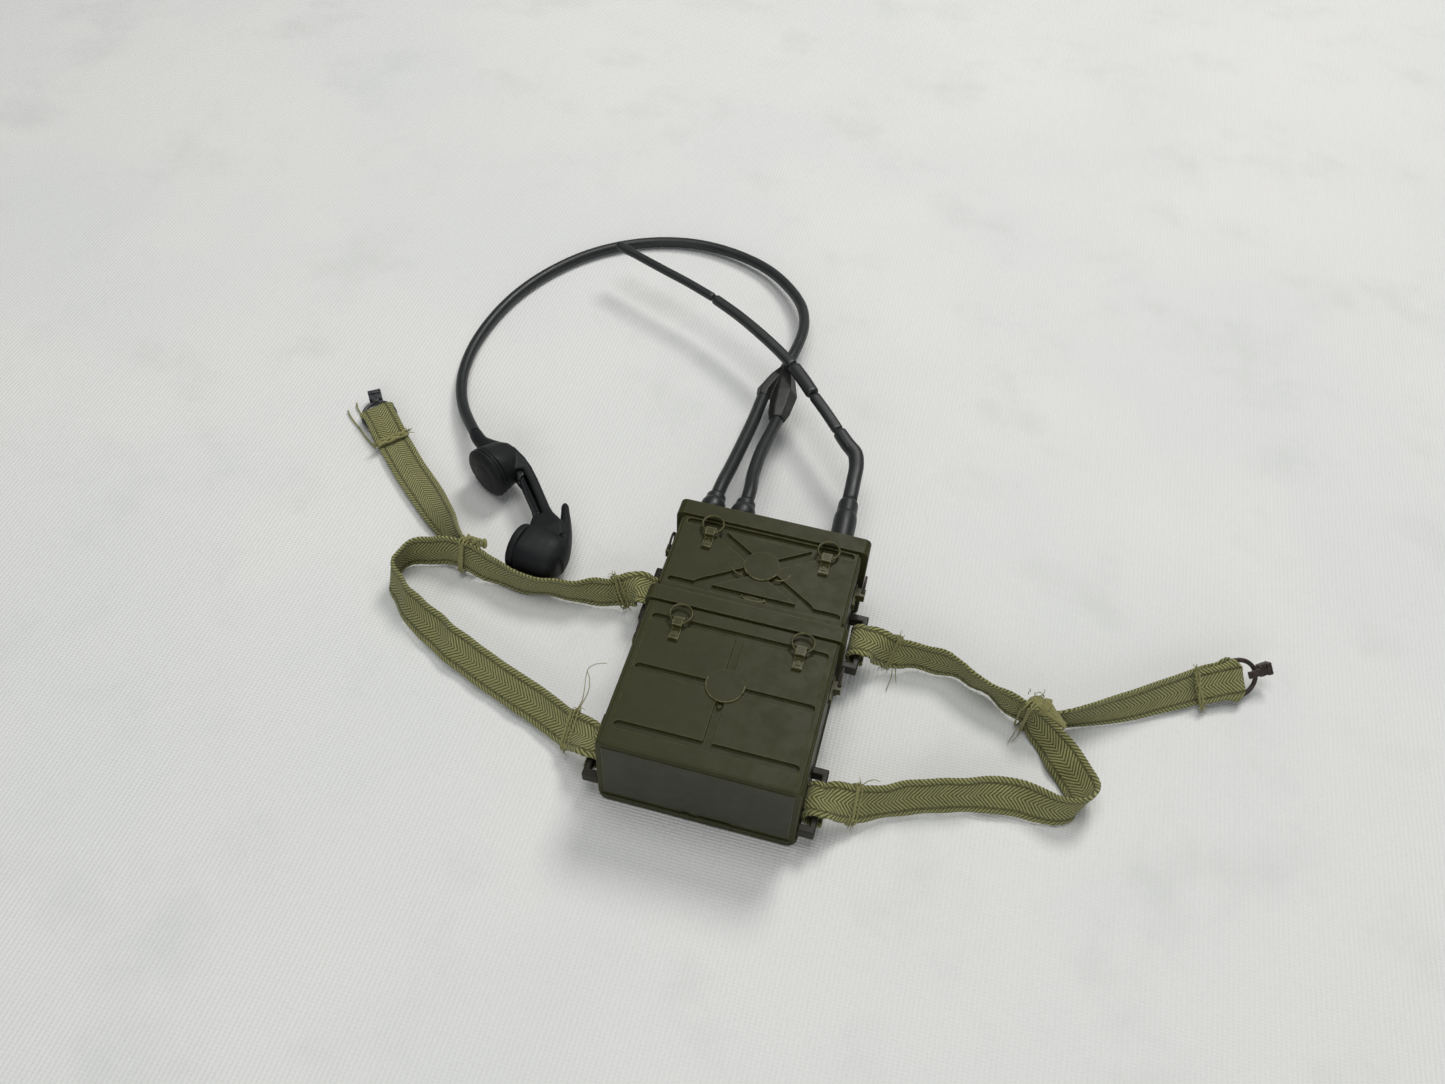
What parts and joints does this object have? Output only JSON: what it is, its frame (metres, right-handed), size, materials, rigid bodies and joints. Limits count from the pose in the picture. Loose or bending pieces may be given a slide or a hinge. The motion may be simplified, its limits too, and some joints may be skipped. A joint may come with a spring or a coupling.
{
  "type": "toy backpack radio set",
  "caption": "Small toy backpack radio: olive two-part case with cloth tape shoulder straps and clips, bent stub aerial, and a corded handset with a talk bar.",
  "frame": {"origin": "middle of the back cover, on the face that the pack lies on", "axes": "+X to the right seen from the front, +Y towards the aerial end, +Z out of the front of the case"},
  "size_m": [0.264, 0.2087, 0.0269],
  "materials": {
    "case_plastic": "satin olive drab moulded plastic",
    "latch_plastic": "satin olive drab moulded plastic, rubbed lighter on raised edges",
    "window_plastic": "smooth dark smoke",
    "black_plastic": "satin charcoal moulded plastic",
    "cord_vinyl": "satin charcoal soft vinyl",
    "tape": "khaki olive herringbone twill cotton tape",
    "thread": "khaki cotton sewing thread",
    "brown_metal": "dark brown blackened metal, slightly worn"
  },
  "bodies": {
    "case": {"radio_case": "case_plastic", "battery_case": "case_plastic", "back_cover": "case_plastic", "top_panel": "case_plastic", "dial_window": "window_plastic", "socket_1": "black_plastic", "socket_2": "black_plastic", "front_latch_upper_left": "latch_plastic", "side_latch_upper_left": "latch_plastic", "front_latch_upper_right": "latch_plastic", "side_latch_upper_right": "latch_plastic", "front_latch_lower_left": "latch_plastic", "side_latch_lower_left": "latch_plastic", "front_latch_lower_right": "latch_plastic", "side_latch_lower_right": "latch_plastic", "left_upper_bracket": "brown_metal", "left_lower_bracket": "brown_metal", "left_shoulder_strap": "tape", "left_tail_strap": "tape", "left_upper_binding": "thread", "left_lower_binding": "thread", "left_knot": "thread", "right_upper_bracket": "brown_metal", "right_lower_bracket": "brown_metal", "right_shoulder_strap": "tape", "right_tail_strap": "tape", "right_upper_binding": "thread", "right_lower_binding": "thread", "right_knot": "thread"},
    "aerial": {"aerial_boot": "black_plastic", "aerial_lower": "black_plastic", "aerial_middle": "black_plastic", "aerial_sleeve": "black_plastic", "aerial_upper": "black_plastic", "aerial_tip": "black_plastic"},
    "handset_set": {"plug_1": "black_plastic", "plug_2": "black_plastic", "lead_1": "cord_vinyl", "lead_2": "cord_vinyl", "cord_junction": "black_plastic", "handset_cord": "cord_vinyl", "handset_handle": "black_plastic", "ear_cap": "black_plastic", "mouth_cap": "black_plastic"},
    "talk_bar": {"talk_bar": "black_plastic"},
    "tuning_knob": {"tuning_knob": "black_plastic"},
    "volume_knob": {"volume_knob": "black_plastic"},
    "left_clip": {"left_clip_ring": "brown_metal", "left_clip_hook": "brown_metal"},
    "right_clip": {"right_clip_ring": "brown_metal", "right_clip_hook": "brown_metal"},
    "front_ring_upper_left": {"front_ring_upper_left": "latch_plastic"},
    "side_ring_upper_left": {"side_ring_upper_left": "latch_plastic"},
    "front_ring_upper_right": {"front_ring_upper_right": "latch_plastic"},
    "side_ring_upper_right": {"side_ring_upper_right": "latch_plastic"},
    "front_ring_lower_left": {"front_ring_lower_left": "latch_plastic"},
    "side_ring_lower_left": {"side_ring_lower_left": "latch_plastic"},
    "front_ring_lower_right": {"front_ring_lower_right": "latch_plastic"},
    "side_ring_lower_right": {"side_ring_lower_right": "latch_plastic"}
  },
  "joints": [
    {"name": "aerial_swivel", "type": "hinge", "parent": "case", "child": "aerial", "pos_m": [0.017, 0.0369, 0.015], "axis": [0, 1, 0], "range_deg": [0, 175]},
    {"name": "plugs_pull_out", "type": "slide", "parent": "case", "child": "handset_set", "axis": [0, 1, 0], "range_m": [0, 0.008]},
    {"name": "talk_bar_press", "type": "hinge", "parent": "handset_set", "child": "talk_bar", "pos_m": [-0.07442, 0.04602, 0.0076], "axis": [0, 0, 1], "range_deg": [0, 3], "stiffness_Nm_per_rad": 0.002, "springref_deg": -5.73},
    {"name": "tuning_knob_turn", "type": "hinge", "parent": "case", "child": "tuning_knob", "pos_m": [0.0054, 0.038, 0.0082], "axis": [0, 1, 0], "range_deg": [-150, 150]},
    {"name": "volume_knob_turn", "type": "hinge", "parent": "case", "child": "volume_knob", "pos_m": [-0.0034, 0.038, 0.0082], "axis": [0, 1, 0], "range_deg": [-150, 150]},
    {"name": "front_ring_upper_left_lift", "type": "hinge", "parent": "case", "child": "front_ring_upper_left", "pos_m": [-0.0148, 0.0275, 0.0263], "axis": [1, 0, 0], "range_deg": [0, 100]},
    {"name": "side_ring_upper_left_lift", "type": "hinge", "parent": "case", "child": "side_ring_upper_left", "pos_m": [-0.02565, 0.0275, 0.015], "axis": [0, 0, 1], "range_deg": [0, 100]},
    {"name": "front_ring_upper_right_lift", "type": "hinge", "parent": "case", "child": "front_ring_upper_right", "pos_m": [0.0152, 0.0275, 0.0263], "axis": [1, 0, 0], "range_deg": [0, 100]},
    {"name": "side_ring_upper_right_lift", "type": "hinge", "parent": "case", "child": "side_ring_upper_right", "pos_m": [0.02565, 0.0275, 0.015], "axis": [0, 0, -1], "range_deg": [0, 100]},
    {"name": "front_ring_lower_left_lift", "type": "hinge", "parent": "case", "child": "front_ring_lower_left", "pos_m": [-0.0148, -0.0016, 0.0263], "axis": [1, 0, 0], "range_deg": [0, 100]},
    {"name": "side_ring_lower_left_lift", "type": "hinge", "parent": "case", "child": "side_ring_lower_left", "pos_m": [-0.0255, -0.0016, 0.015], "axis": [0, 0, 1], "range_deg": [0, 100]},
    {"name": "front_ring_lower_right_lift", "type": "hinge", "parent": "case", "child": "front_ring_lower_right", "pos_m": [0.0152, -0.0016, 0.0263], "axis": [1, 0, 0], "range_deg": [0, 100]},
    {"name": "side_ring_lower_right_lift", "type": "hinge", "parent": "case", "child": "side_ring_lower_right", "pos_m": [0.0255, -0.0016, 0.015], "axis": [0, 0, -1], "range_deg": [0, 100]},
    {"name": "left_clip_turn", "type": "hinge", "parent": "case", "child": "left_clip", "pos_m": [-0.12569, 0.06197, 0.0022], "axis": [-0.0274, -0.0292, 0.9992], "range_deg": [-8, 34]},
    {"name": "right_clip_turn", "type": "hinge", "parent": "case", "child": "right_clip", "pos_m": [0.12225, 0.03671, 0.0047], "axis": [0.3294, -0.6158, 0.7157], "range_deg": [-32, 20]}
  ]
}
